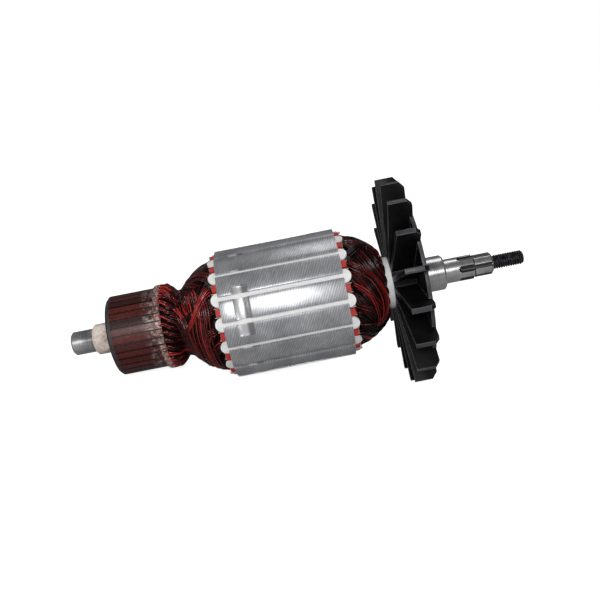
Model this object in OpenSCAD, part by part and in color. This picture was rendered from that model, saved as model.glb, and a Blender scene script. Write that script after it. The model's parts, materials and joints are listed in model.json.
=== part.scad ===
// Armature of a universal motor: a wound sixteen-slot rotor with its commutator,
// cooling fan and shaft. It lies as it comes to rest on a table: on two fan blades
// and on the rim of the commutator, with the drive end up. Millimetres, +Z up.

/* [Shaft] */
// Diameter of the commutator-end bearing journal
journal_d = 10; // [9:0.5:10]
// Length of the commutator-end bearing journal
journal_l = 9; // [7:0.5:11]
// Diameter of the shaft inside the insulating tube
core_shaft_d = 10.4; // [10.2:0.2:11]
// Diameter of the shaft under the fan
fan_seat_d = 13; // [12:0.5:14]
// Diameter of the drive-end bearing seat
bearing_seat_d = 14.8; // [14.4:0.2:16]
// Length of the drive-end bearing seat
bearing_seat_l = 9.6; // [8:0.2:11]
// Diameter of the fluted pinion seat
pinion_seat_d = 10.4; // [10:0.2:11]
// Length of the fluted pinion seat, up to its ring groove
pinion_seat_l = 12.2; // [11:0.2:14]
// Diameter of the pilot between the ring groove and the thread
pilot_d = 9.4; // [9:0.2:9.8]
// Length of the pilot
pilot_l = 7.8; // [6:0.2:9]
// Outside diameter of the threaded end
thread_d = 6; // [5:0.5:7]
// Length of the threaded end
thread_l = 12.6; // [10:0.2:15]
// Number of flutes round the pinion seat
flute_count = 6; // [4:1:6]
// Radius of the cutter that made the flutes
flute_r = 1.8; // [1.5:0.1:2]
// Depth of the flutes
flute_depth = 0.9; // [0.6:0.1:1.1]

/* [Laminated core] */
// Diameter of the core
core_d = 54; // [52:0.5:56]
// Length of the core
core_l = 50; // [44:1:56]
// Number of slots, and of coils
slot_count = 16; // [14:1:18]
// Width of the slot mouths
slot_mouth = 2; // [1.6:0.1:2.4]
// Thickness of the tooth tips beside a mouth
tooth_tip_h = 1.2; // [1:0.1:1.5]
// Width of the tooth necks
tooth_w = 3.2; // [2.8:0.1:3.4]
// Radius of the slot floors, from the shaft axis
slot_floor_r = 13; // [12.6:0.1:13.6]
// Width of the milled balance cut, along the shaft
balance_cut_w = 6.6; // [6:0.2:8]
// Depth of the milled balance cut
balance_cut_depth = 1.2; // [0.8:0.1:1.6]
// Distance of the balance cut's middle from the commutator end of the core
balance_cut_at = 8.9; // [7:0.1:14]
// Angle that the balance cut spans round the core
balance_cut_span = 44; // [30:1:60]

/* [Insulation] */
// Outside diameter of the insulating tube beside the commutator
tube_d = 13; // [12.6:0.1:13.4]
// Outside diameter of the insulating tube in the core
tube_core_d = 15; // [14.6:0.1:15.6]
// Length of tube that shows beyond the commutator
tube_out = 9; // [7:0.5:11]
// Thickness of the slot liners
liner_t = 0.3; // [0.2:0.05:0.4]
// Thickness of the red end discs
disc_t = 2; // [1.6:0.1:2.4]
// Diameter over the teeth of the end discs
disc_d = 51.4; // [50:0.2:51.6]
// Width of the slot wedges
wedge_w = 5.6; // [5.2:0.1:6]
// Thickness of the slot wedges
wedge_t = 0.9; // [0.7:0.1:1.1]
// Length of wedge that shows at each end of the core
wedge_out = 3.1; // [2.6:0.1:3.6]

/* [Winding] */
// Number of slots that a coil spans
coil_pitch = 7; // [6:1:7]
// Height of the end winding at the fan end, past the core
fan_end_h = 17.6; // [16:0.2:18]
// Height of the end winding at the commutator end, past the core
lead_end_h = 17.2; // [16:0.2:18]
// Diameter at which the two layers of coils meet in the core
layer_d = 37.8; // [37:0.2:39]
// Diameter over the noses of the end windings
nose_d = 28; // [27:0.5:29]
// Gap between neighbouring coils, in degrees at the shaft axis
coil_gap = 2.2; // [2:0.1:3]
// Gap between the two layers of coils
layer_gap = 0.5; // [0.4:0.05:0.7]
// Strand ridges that show on each coil
coil_ridges = 3; // [2:1:3]
// Depth between the strand ridges
ridge_h = 0.45; // [0.2:0.05:0.6]
// Thickness of a pair of coil leads
lead_d = 1.9; // [1.5:0.1:2]

/* [Commutator] */
// Diameter of the brush track
commutator_d = 33.8; // [33:0.1:35]
// Number of copper bars
bar_count = 32; // [28:1:36]
// Length of the bars
bar_l = 18; // [16:0.5:19]
// Radial height of the bars
bar_h = 5.2; // [4.6:0.1:5.6]
// Width of the undercut between bars
bar_slit = 0.7; // [0.5:0.05:0.9]
// Depth of the undercut between bars
undercut = 0.9; // [0.6:0.1:1.2]
// Length of the moulded lip in front of the bars
front_lip = 2; // [1.5:0.1:2.6]
// Height of the hooks above the brush track
hook_h = 1; // [0.8:0.1:1.2]
// Width of the hooks
hook_w = 1.7; // [1.4:0.1:2]
// Length of the hooks
hook_l = 2.6; // [2.2:0.1:3]
// Clear length between the hooks and the end winding
lead_space = 8.4; // [8:0.2:10]

/* [Fan] */
// Diameter over the blade tips
fan_d = 86.8; // [84:0.2:90]
// Number of blades
blade_count = 18; // [16:2:20]
// Thickness of the blades
blade_t = 2; // [1.6:0.1:2.4]
// Axial length of the fan's hub
hub_l = 13.4; // [12.6:0.2:14]
// Diameter of the fan's hub
hub_d = 24; // [23:0.5:26]
// Diameter of the fan's plate
plate_d = 70; // [66:1:72]
// Thickness of the fan's plate
plate_t = 1.5; // [1.2:0.1:2]
// Distance from the hub's inner face to the drive side of the plate
plate_at = 11; // [10.4:0.1:11.6]
// Width of the blade tips along the shaft
tip_w = 7.4; // [6.6:0.2:8]
// Lean of a blade's inner edge, from root to tip
edge_lean = 1.2; // [0.8:0.1:1.6]
// Drop of the blade's chamfered outer corner
corner_drop = 2.5; // [2:0.1:3.4]
// Diameter of the white spacer ring between winding and fan
spacer_d = 22; // [20:0.5:22.4]
// Length of the spacer ring
spacer_l = 2.6; // [2.2:0.2:3]

/* [Hidden] */
$fn = 72;
// Running clearance between pieces that are pushed together
fit = 0.05;
chamfer = 0.8;
// Broken edge of a shoulder
edge = 0.25;
// Direction of one slot, from straight up towards the near side
slot_turn = 14.9;
// Turn of the commutator's bars against the slots
bar_turn = -1.1;
// Direction of the balance cut's middle, from straight up
balance_turn = 73;
// Direction of one land between two flutes, from straight up
land_turn = 50;

core_r = core_d / 2;
commutator_r = commutator_d / 2;
fan_r = fan_d / 2;
slot_step = 360 / slot_count;
bar_step = 360 / bar_count;
blade_step = 360 / blade_count;

// Stations along the shaft, from the middle of the core
hook_end = -(core_l / 2 + lead_end_h + lead_space);
bar_start = hook_end - hook_l - bar_l;
commutator_start = bar_start - front_lip;
tube_start = commutator_start - tube_out;
relief_l = 0.7;
journal_start = tube_start - relief_l - journal_l;
spacer_start = core_l / 2 + fan_end_h;
fan_start = spacer_start + spacer_l;
fan_end = fan_start + hub_l;
seat_end = fan_end + bearing_seat_l;
groove_start = seat_end + pinion_seat_l;
groove_l = 0.6;
pilot_end = groove_start + groove_l + pilot_l;
neck_l = 0.8;
shaft_end = pilot_end + neck_l + thread_l;

// Rest on a table: the lowest corners of two blade tips on one side, and the
// first of the rims that the tilting shaft brings down on the other
tip_s = fan_start + edge_lean;
tip_r = fan_r * cos(blade_step / 2) + blade_t / 2 * sin(blade_step / 2);
rim_s = [-core_l / 2, commutator_start + chamfer, hook_end - hook_l];
rim_r = [core_r, commutator_r, commutator_r + hook_h];
rest_tilt = min([for (i = [0:len(rim_s) - 1]) atan2(tip_r - rim_r[i], tip_s - rim_s[i])]);
axis_z = tip_r * cos(rest_tilt) - tip_s * sin(rest_tilt);
left_x = min(
    journal_start * cos(rest_tilt) - (journal_d / 2 - chamfer) * sin(rest_tilt),
    (journal_start + chamfer) * cos(rest_tilt) - journal_d / 2 * sin(rest_tilt));
right_x = max(
    shaft_end * cos(rest_tilt) + (thread_d / 2 - chamfer) * sin(rest_tilt),
    (shaft_end - chamfer) * cos(rest_tilt) + thread_d / 2 * sin(rest_tilt));
axis_x = -(left_x + right_x) / 2;

// Puts a piece that is drawn along z, with x pointing up, on the tilted shaft
module on_shaft() {
    translate([axis_x, 0, axis_z])
        rotate([0, -rest_tilt, 0])
            rotate([180, 0, 0])
                rotate([0, 90, 0])
                    children();
}

module ring(r_in, r_out, from, to) {
    translate([0, 0, from])
        difference() {
            cylinder(r = r_out, h = to - from);
            translate([0, 0, -1])
                cylinder(r = r_in, h = to - from + 2);
        }
}

// --- Shaft -----------------------------------------------------------------

function shaft_profile() = [
    [0, journal_start],
    [journal_d / 2 - chamfer, journal_start],
    [journal_d / 2, journal_start + chamfer],
    [journal_d / 2, tube_start - relief_l - edge],
    [journal_d / 2 - edge, tube_start - relief_l],
    [journal_d / 2 - relief_l / 2, tube_start - relief_l],
    [journal_d / 2 - relief_l / 2, tube_start],
    [core_shaft_d / 2, tube_start],
    [core_shaft_d / 2, fan_start],
    [fan_seat_d / 2, fan_start],
    [fan_seat_d / 2, fan_end],
    [bearing_seat_d / 2 - edge, fan_end],
    [bearing_seat_d / 2, fan_end + edge],
    [bearing_seat_d / 2, seat_end - chamfer],
    [bearing_seat_d / 2 - chamfer, seat_end],
    [pinion_seat_d / 2, seat_end],
    [pinion_seat_d / 2, groove_start],
    [pilot_d / 2 - groove_l / 2, groove_start],
    [pilot_d / 2 - groove_l / 2, groove_start + groove_l],
    [pilot_d / 2, groove_start + groove_l],
    [pilot_d / 2, pilot_end - chamfer],
    [pilot_d / 2 - chamfer, pilot_end],
    [thread_d / 2 - neck_l / 2, pilot_end],
    [thread_d / 2 - neck_l / 2, pilot_end + neck_l / 2],
    [thread_d / 2, pilot_end + neck_l],
    [thread_d / 2, shaft_end - chamfer],
    [thread_d / 2 - chamfer, shaft_end],
    [0, shaft_end]];

// A flute: a long round groove, with the round end that its cutter leaves
module flute() {
    run_in = groove_start - pinion_seat_l * 0.4;
    translate([pinion_seat_d / 2 - flute_depth + flute_r, 0, run_in]) {
        cylinder(r = flute_r, h = pilot_end - run_in);
        sphere(r = flute_r);
    }
}

module shaft() {
    color("silver")
        on_shaft()
            difference() {
                rotate_extrude()
                    polygon(shaft_profile());
                for (i = [0:flute_count - 1])
                    rotate([0, 0, land_turn + (i + 0.5) * 360 / flute_count])
                        flute();
            }
}

// --- Core and its insulation -------------------------------------------------

// Half width of a slot at radius x, drawn in by d from its walls
function slot_half_w(x, d) =
    x * tan(slot_step / 2) - (tooth_w / 2 + d) / cos(slot_step / 2);
floor_r = (slot_floor_r * sin(slot_step / 2) - tooth_w / 2) / (1 - sin(slot_step / 2));
floor_x = slot_floor_r + floor_r;
shoulder_x = core_r - tooth_tip_h;
// Lip of tooth between a wedge and the slot's mouth
lip_h = 0.4;
wedge_top_r = shoulder_x - lip_h - fit;
liner_top_x = wedge_top_r - wedge_t - 3 * fit;
// Length of liner that shows beyond each end disc
liner_out = 0.6;

// Wall of a slot from the height x round the floor and back, drawn in by d
function slot_wall(x, d) = concat(
    [[x, slot_half_w(x, d)]],
    [for (a = [90 + slot_step / 2:15:270 - slot_step / 2])
        [floor_x + (floor_r - d) * cos(a), (floor_r - d) * sin(a)]],
    [[floor_x + (floor_r - d) * cos(270 - slot_step / 2), -(floor_r - d) * cos(slot_step / 2)]],
    [[x, -slot_half_w(x, d)]]);

function slot_outline() = concat(
    [[core_r + 1, -slot_mouth / 2]],
    [[core_r + 1, slot_mouth / 2]],
    [[shoulder_x, slot_mouth / 2]],
    slot_wall(shoulder_x - lip_h, 0),
    [[shoulder_x, -slot_mouth / 2]]);

function reversed(list) = [for (i = [len(list) - 1:-1:0]) list[i]];

module at_slot(i) {
    rotate([0, 0, slot_turn + i * slot_step])
        children();
}

// The balance cut: a round-bottomed groove that follows the core for a short way
module balance_cut() {
    nose_r = (pow(balance_cut_w / 2, 2) + pow(balance_cut_depth, 2)) / (2 * balance_cut_depth);
    reach = core_r * 1.2;
    half = balance_cut_span / 2;
    translate([0, 0, balance_cut_at - core_l / 2])
        rotate([0, 0, balance_turn])
            intersection() {
                rotate_extrude()
                    translate([core_r - balance_cut_depth + nose_r, 0])
                        circle(r = nose_r);
                translate([0, 0, -balance_cut_w])
                    linear_extrude(height = 2 * balance_cut_w)
                        polygon([
                            [0, 0],
                            [reach * cos(half), -reach * sin(half)],
                            [reach, 0],
                            [reach * cos(half), reach * sin(half)]]);
            }
}

module lamination_stack() {
    color("silver")
        on_shaft()
            difference() {
                ring(tube_core_d / 2 + fit, core_r, -core_l / 2, core_l / 2);
                for (i = [0:slot_count - 1])
                    at_slot(i)
                        translate([0, 0, -core_l / 2 - 1])
                            linear_extrude(height = core_l + 2)
                                polygon(slot_outline());
                balance_cut();
            }
}

module end_disc(from) {
    slack = 0.1;
    color("firebrick")
        on_shaft()
            difference() {
                ring(tube_core_d / 2 + fit, disc_d / 2, from, from + disc_t);
                for (i = [0:slot_count - 1])
                    at_slot(i)
                        translate([0, 0, from - 1])
                            linear_extrude(height = disc_t + 2)
                                polygon(slot_wall(core_r + 1, -slack));
            }
}

module slot_liner(i) {
    half_l = core_l / 2 + disc_t + liner_out;
    color("ivory")
        on_shaft()
            at_slot(i - 1)
                translate([0, 0, -half_l])
                    linear_extrude(height = 2 * half_l)
                        polygon(concat(
                            slot_wall(liner_top_x, fit),
                            reversed(slot_wall(liner_top_x, fit + liner_t))));
}

// A strip bent to the curve of the core, with round ends, just under the tooth tips
module slot_wedge(i) {
    end_s = core_l / 2 + wedge_out - wedge_w / 2;
    color("white")
        on_shaft()
            at_slot(i - 1)
                intersection() {
                    ring(wedge_top_r - wedge_t, wedge_top_r, -core_l, core_l);
                    union() {
                        translate([0, -wedge_w / 2, -end_s])
                            cube([core_r, wedge_w, 2 * end_s]);
                        for (side = [-1, 1])
                            translate([0, 0, side * end_s])
                                rotate([0, 90, 0])
                                    cylinder(d = wedge_w, h = core_r);
                    }
                }
}

module insulating_tube() {
    step_s = hook_end + fit;
    color("ivory")
        on_shaft()
            difference() {
                union() {
                    translate([0, 0, tube_start + chamfer])
                        cylinder(d = tube_d, h = spacer_start - tube_start - chamfer);
                    translate([0, 0, tube_start])
                        cylinder(d1 = tube_d - 2 * chamfer, d2 = tube_d, h = chamfer);
                    translate([0, 0, step_s])
                        cylinder(d = tube_core_d, h = spacer_start - step_s);
                }
                translate([0, 0, tube_start - 1])
                    cylinder(r = core_shaft_d / 2 + fit, h = spacer_start - tube_start + 2);
            }
}

// --- Winding -----------------------------------------------------------------

function mix(a, b, t) = a * (1 - t) + b * t;

// The coils' outside, the surface between their two layers, and their inside: radii
// in the slots and at the noses, and the share of the way from the first to the
// second that each has come at a share t of the end winding's height
wedge_gap = 0.4;
tube_gap = 0.7;
leg_top_r = liner_top_x - wedge_gap;
leg_mid_r = layer_d / 2;
leg_floor_r = slot_floor_r + floor_r;
nose_top_r = nose_d / 2;
nose_floor_r = tube_core_d / 2 + tube_gap;
nose_mid_r = (nose_top_r + nose_floor_r) / 2;
outer_shape = [[0, 0], [0.18, 0.05], [0.4, 0.14], [0.6, 0.33], [0.8, 0.6], [1, 1]];
middle_shape = [[0, 0], [0.15, 0], [0.45, 0.32], [0.8, 0.7], [1, 1]];
inner_shape = [[0, 0], [0.15, 0], [0.45, 0.63], [0.8, 0.9], [1, 1]];
function outer_r(t) = mix(leg_top_r, nose_top_r, lookup(t, outer_shape));
function middle_r(t) = mix(leg_mid_r, nose_mid_r, lookup(t, middle_shape));
function inner_r(t) = mix(leg_floor_r, nose_floor_r, lookup(t, inner_shape));

// Half width of a coil in degrees: in its slot at radius r, and over the angle c of
// its climb from the slot to the nose
function leg_half_a(r) = slot_step / 2 - asin((tooth_w / 2 + 2 * fit + liner_t) / r);
half_span = coil_pitch * slot_step / 2;
root_half_a = 7.2;
notch_half_a = 6.5;
nose_half_a = 5.3;
full_half_a = slot_step / 2 - coil_gap / 2;
spread_a = 8;
gather_a = 30;
function climb_half_a(c) = lookup(c, [
    [0, root_half_a], [spread_a, full_half_a], [half_span - gather_a, full_half_a],
    [half_span - notch_half_a, notch_half_a], [half_span, nose_half_a]]);

// Height of a coil's middle line over the angle c from its slot
leg_end = disc_t + liner_out + fit;
climb_start = leg_end + liner_out;
function climb(c, h) =
    let (x = max(0, min(1, c / half_span)))
    climb_start + (h - climb_start) * (0.22 * sqrt(x) + 0.5 * x + 0.28 * sin(90 * x));

// The two edges of a coil's band at step i of n: [angle, height]
climb_steps = 8;
flat_steps = 2;
function inside_edge(i, h) =
    let (c = (half_span - notch_half_a) * i / climb_steps)
    [c + climb_half_a(c), climb(c, h)];
function outside_edge(i, h) =
    let (c = half_span * min(1, i / (climb_steps - flat_steps)),
         flat = max(0, i - (climb_steps - flat_steps)) / flat_steps)
    [c - climb_half_a(c) * (1 - flat), climb(c, h)];

// Share of the way from the outer layer (0) to the inner layer (1)
function layer_share(a) =
    let (reach = slot_step / 2 - nose_half_a)
    max(0, min(1, (a - half_span + reach) / (2 * reach)));

// One corner of a coil: angle a, height s, and f from its inside (0) to its outside (1)
function band_r(a, s, h, f) =
    let (t = layer_share(a),
         top = mix(outer_r(s / h), middle_r(s / h) - layer_gap / 2, t),
         bottom = mix(middle_r(s / h) + layer_gap / 2, inner_r(s / h), t))
    mix(bottom, top, f);

function polar(r, a, s) = [r * cos(a), r * sin(a), s];

// Section of a coil at step i, on its first half (turned = 0) or its second (1)
ridge_points = 2 * coil_ridges;
function section(i, turned, side, h) =
    let (e0 = inside_edge(i, h), e1 = outside_edge(i, h))
    concat(
        [for (k = [0:ridge_points])
            let (u = k / ridge_points,
                 a = mix(e0[0], e1[0], u),
                 b = turned ? 2 * half_span - a : a,
                 s = mix(e0[1], e1[1], u))
            polar(band_r(b, s, h, 1) - (k % 2 == 0 ? ridge_h : 0), b, side * (core_l / 2 + s))],
        [for (u = [1, 0.5, 0])
            let (a = mix(e0[0], e1[0], u),
                 b = turned ? 2 * half_span - a : a,
                 s = mix(e0[1], e1[1], u))
            polar(band_r(b, s, h, 0), b, side * (core_l / 2 + s))]);

// Section of a coil in its slot, at the height s
function leg_section(turned, side, s) =
    let (r1 = turned ? leg_mid_r - layer_gap / 2 : leg_top_r,
         r0 = turned ? leg_floor_r : leg_mid_r + layer_gap / 2,
         z = side * (core_l / 2 + s),
         sign = turned ? -1 : 1,
         base = turned ? 2 * half_span : 0)
    concat(
        [for (k = [0:ridge_points])
            polar(r1 - (k % 2 == 0 ? ridge_h : 0),
                base + sign * leg_half_a(r1 - ridge_h) * (1 - 2 * k / ridge_points), z)],
        [for (u = [-1, 0, 1])
            polar(r0, base + sign * leg_half_a(r0) * u, z)]);

function end_sections(side, h) = concat(
    [leg_section(0, side, leg_end)],
    [for (i = [0:climb_steps]) section(i, 0, side, h)],
    [for (i = [climb_steps - 1:-1:0]) section(i, 1, side, h)],
    [leg_section(1, side, leg_end)]);

module coil(i) {
    rings = concat(end_sections(1, fan_end_h), reversed(end_sections(-1, lead_end_h)));
    n = len(rings);
    m = len(rings[0]);
    color("maroon")
        on_shaft()
            at_slot(i - 1)
                polyhedron(
                    points = [for (r = rings) each r],
                    faces = [for (j = [0:n - 1]) for (k = [0:m - 1]) each
                        let (p = j * m, q = (j + 1) % n * m, k2 = (k + 1) % m)
                        [[p + k, p + k2, q + k], [p + k2, q + k2, q + k]]]);
}

// Leads: one pair of wires from each hook down to the end winding. Each point of
// their route is a radius, a station and an angle from the hook
function lead_route() =
    let (r0 = commutator_r, r1 = nose_top_r, s0 = hook_end + fit, d = lead_d, l = lead_space)
    [[r0 + 0.1 * d, s0, 0],
     [r0 + 0.1 * d, s0 + 0.17 * l, 1.5],
     [r0 - 0.05 * d, s0 + 0.33 * l, 4],
     [r0 - 0.85 * d, s0 + 0.55 * l, 8],
     [r1 - 0.3 * d, s0 + 0.76 * l, 13],
     [r1 - 0.5 * d, s0 + 0.97 * l, 18]];

module lead(j) {
    sides = 6;
    route = lead_route();
    n = len(route);
    caps = [[for (k = [0:sides - 1]) k], [for (k = [sides - 1:-1:0]) (n - 1) * sides + k]];
    rotate([0, 0, slot_turn + bar_turn + j * bar_step])
        polyhedron(
            points = [for (i = [0:n - 1])
                let (p = route[max(0, i - 1)], q = route[min(n - 1, i + 1)],
                     lean = atan2(q[0] - p[0], q[1] - p[1]))
                for (k = [0:sides - 1])
                    let (c = lead_d / 2 * cos(360 * k / sides), d = lead_d / 2 * sin(360 * k / sides))
                    polar(route[i][0] + c * cos(lean), route[i][2] + atan2(d, route[i][0]),
                        route[i][1] - c * sin(lean))],
            faces = concat(caps, [for (i = [0:n - 2]) for (k = [0:sides - 1]) each
                let (p = i * sides, q = p + sides, k2 = (k + 1) % sides)
                [[p + k, q + k, p + k2], [p + k2, q + k, q + k2]]]));
}

module coil_leads() {
    color("maroon")
        on_shaft()
            for (j = [0:bar_count - 1])
                lead(j);
}

// --- Commutator --------------------------------------------------------------

bar_foot_r = commutator_r - bar_h;
dovetail = 1.2;

// Section of the ring of bars: a brush track on a dovetail foot
function bar_profile() = [
    [commutator_r, bar_start],
    [commutator_r - bar_h / 2, bar_start],
    [bar_foot_r, bar_start + dovetail],
    [bar_foot_r, hook_end - dovetail],
    [commutator_r - bar_h / 2, hook_end],
    [commutator_r, hook_end]];

// A hook stands up from the end of its bar and is folded back over its wires
hook_root = 0.4;
function hook_profile() = [
    [commutator_r - hook_root, hook_end - hook_l],
    [commutator_r + hook_h * 0.6, hook_end - hook_l],
    [commutator_r + hook_h, hook_end - hook_l * 0.75],
    [commutator_r + hook_h, hook_end - hook_l * 0.3],
    [commutator_r + hook_h * 0.7, hook_end],
    [commutator_r - hook_root, hook_end]];

module at_bar(j) {
    rotate([0, 0, slot_turn + bar_turn + j * bar_step])
        children();
}

// The ring of bars, cut apart by the slits
module bar_ring() {
    difference() {
        rotate_extrude()
            polygon(bar_profile());
        for (j = [0:bar_count - 1])
            at_bar(j + 0.5)
                translate([0, -bar_slit / 2, bar_start - 1])
                    cube([commutator_r + 1, bar_slit, hook_end - bar_start + 2]);
    }
}

module commutator_bars() {
    color("indianred")
        on_shaft() {
            bar_ring();
            for (j = [0:bar_count - 1])
                at_bar(j)
                    translate([0, hook_w / 2, 0])
                        rotate([90, 0, 0])
                            linear_extrude(height = hook_w)
                                polygon(hook_profile());
        }
}

module commutator_moulding() {
    back_s = hook_end;
    color("dimgray")
        on_shaft() {
            difference() {
                union() {
                    translate([0, 0, commutator_start + chamfer])
                        cylinder(r = commutator_r, h = bar_start - commutator_start - chamfer);
                    translate([0, 0, commutator_start])
                        cylinder(r1 = commutator_r - chamfer, r2 = commutator_r, h = chamfer);
                    translate([0, 0, bar_start])
                        cylinder(r = commutator_r - undercut, h = back_s - bar_start);
                }
                bar_ring();
                translate([0, 0, commutator_start - 1])
                    cylinder(d = tube_d + 2 * fit, h = back_s - commutator_start + 2);
            }
        }
}

// --- Fan ---------------------------------------------------------------------

// A blade stands on the hub and runs back into the plate, just short of its drive side
blade_inset = 0.3;
function blade_outline() =
    let (r0 = (fan_seat_d + hub_d) / 4)
    [[r0, 0],
     [hub_d / 2, 0],
     [fan_r, edge_lean],
     [fan_r, edge_lean + tip_w],
     [fan_r - corner_drop, plate_at - blade_inset],
     [r0, plate_at - blade_inset]];

module fan() {
    color([0.12, 0.12, 0.13])
        on_shaft()
            translate([0, 0, fan_start])
                difference() {
                    union() {
                        cylinder(d = hub_d, h = hub_l);
                        translate([0, 0, plate_at - plate_t])
                            cylinder(d = plate_d, h = plate_t);
                        for (k = [0:blade_count - 1])
                            rotate([0, 0, 180 + (k + 0.5) * blade_step])
                                translate([0, blade_t / 2, 0])
                                    rotate([90, 0, 0])
                                        linear_extrude(height = blade_t)
                                            polygon(blade_outline());
                    }
                    translate([0, 0, -1])
                        cylinder(r = fan_seat_d / 2 + fit, h = hub_l + 2);
                }
}

module fan_spacer() {
    color("white")
        on_shaft()
            ring(core_shaft_d / 2 + fit, spacer_d / 2, spacer_start, fan_start);
}

// --- Pieces by name ----------------------------------------------------------

shaft();
insulating_tube();
lamination_stack();
end_disc(-core_l / 2 - disc_t);  // lead_end_disc
end_disc(core_l / 2);  // fan_end_disc
commutator_moulding();
commutator_bars();
coil_leads();
fan_spacer();
fan();
for (i = [1:slot_count])
    coil(i);
for (i = [1:slot_count])
    slot_liner(i);
for (i = [1:slot_count])
    slot_wedge(i);
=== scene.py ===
"""Looks of a motor armature: enamelled windings, commutator, ground core, fan and shaft.

Lengths are in millimetres and angles in degrees. A station is a distance along the shaft
from the middle of the core, towards the drive end. Angles turn round the shaft from
straight up towards the near side. Points that go into meshes are in metres, in the frame
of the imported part.
"""
import json
import math

import bmesh
import bpy
import numpy as np
from mathutils import Matrix, Vector


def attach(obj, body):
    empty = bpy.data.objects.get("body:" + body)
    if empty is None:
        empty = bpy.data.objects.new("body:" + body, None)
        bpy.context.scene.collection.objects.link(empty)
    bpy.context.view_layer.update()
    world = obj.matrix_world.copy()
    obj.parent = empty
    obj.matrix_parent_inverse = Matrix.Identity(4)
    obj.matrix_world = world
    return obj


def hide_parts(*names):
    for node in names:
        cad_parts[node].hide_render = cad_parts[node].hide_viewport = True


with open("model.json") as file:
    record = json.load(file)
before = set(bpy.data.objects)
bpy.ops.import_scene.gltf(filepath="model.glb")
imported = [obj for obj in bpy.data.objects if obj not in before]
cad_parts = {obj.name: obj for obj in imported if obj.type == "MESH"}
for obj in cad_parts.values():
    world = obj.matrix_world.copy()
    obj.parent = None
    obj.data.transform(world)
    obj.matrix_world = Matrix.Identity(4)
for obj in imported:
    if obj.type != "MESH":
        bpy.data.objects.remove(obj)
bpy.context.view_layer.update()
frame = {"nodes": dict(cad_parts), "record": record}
SCENE = bpy.context.scene
MM = 0.001

# --- Driving dimensions, as the solids have them --------------------------------------

CORE_R, CORE_L = 27.0, 50.0
CUT_W, CUT_DEPTH, CUT_AT = 6.6, 1.2, 8.9
SLOTS, SLOT_TURN = 16, 14.9
SLOT_STEP = 360 / SLOTS
COIL_PITCH = 7
FAN_END_H, LEAD_END_H = 17.6, 17.2
BARS, BAR_TURN = 32, -1.1
BAR_STEP = 360 / BARS
COMMUTATOR_R, BAR_L, FRONT_LIP, HOOK_L = 16.9, 18.0, 2.0, 2.6
LEAD_D, LEAD_SPACE = 1.9, 8.4
SPACER_L, HUB_L, PLATE_R = 2.6, 13.4, 35.0
TUBE_OUT = 9.0
JOURNAL_R, JOURNAL_L, RELIEF = 5.0, 9.0, 0.7
CORE_SHAFT_R, FAN_SEAT_R = 5.2, 6.5
BEARING_R, BEARING_L = 7.4, 9.6
PINION_R, PINION_L = 5.2, 12.2
FLUTES, FLUTE_R, FLUTE_DEPTH, LAND_TURN = 6, 1.8, 0.9, 50
GROOVE_L = 0.6
PILOT_R, PILOT_L = 4.7, 7.8
NECK_L, THREAD_L = 0.8, 12.6
CHAMFER, EDGE = 0.8, 0.25

# Stations
CORE_END = CORE_L / 2
CUT_START = CUT_AT - CORE_END - CUT_W / 2
CUT_END = CUT_START + CUT_W
HOOK_END = -(CORE_END + LEAD_END_H + LEAD_SPACE)
HOOK_START = HOOK_END - HOOK_L
TUBE_START = HOOK_START - BAR_L - FRONT_LIP - TUBE_OUT
JOURNAL_END = TUBE_START - RELIEF
JOURNAL_START = JOURNAL_END - JOURNAL_L
FAN_START = CORE_END + FAN_END_H + SPACER_L
FAN_END = FAN_START + HUB_L
BEARING_END = FAN_END + BEARING_L
GROOVE_START = BEARING_END + PINION_L
GROOVE_END = GROOVE_START + GROOVE_L
PILOT_END = GROOVE_END + PILOT_L
FLUTE_START = GROOVE_START - 0.4 * PINION_L
FLUTE_RUN_IN = FLUTE_START - FLUTE_R
SHAFT_END = PILOT_END + NECK_L + THREAD_L

# --- The shaft's own frame, from the mount on its journal -----------------------------

JOURNAL = next(m for m in frame["record"]["mounts"] if m["name"] == "commutator_end_journal")
JOURNAL_MIDDLE = (JOURNAL_START + CHAMFER + JOURNAL_END - EDGE) / 2
ALONG = -Vector(JOURNAL["axis"])
UP = Vector((-ALONG.z, 0.0, ALONG.x))
NEAR = Vector((0.0, -1.0, 0.0))
ORIGIN = Vector(JOURNAL["pos_m"]) - ALONG * JOURNAL_MIDDLE * MM


def points(r, a, s):
    """Points at radius r, angle a and station s, in metres."""
    r, a, s = np.broadcast_arrays(np.asarray(r, float), np.radians(a), np.asarray(s, float))
    return np.array(ORIGIN)[None, :] + MM * (
        s.ravel()[:, None] * np.array(ALONG)
        + (r * np.cos(a)).ravel()[:, None] * np.array(UP)
        + (r * np.sin(a)).ravel()[:, None] * np.array(NEAR)
    )


def radius_and_angle(co):
    """Radius and angle of a point that is given in metres."""
    d = (np.asarray(co, float) - np.array(ORIGIN)) / MM
    up, near = d @ np.array(UP), d @ np.array(NEAR)
    return np.hypot(up, near), np.degrees(np.arctan2(near, up))


# --- Material helpers -----------------------------------------------------------------


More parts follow.
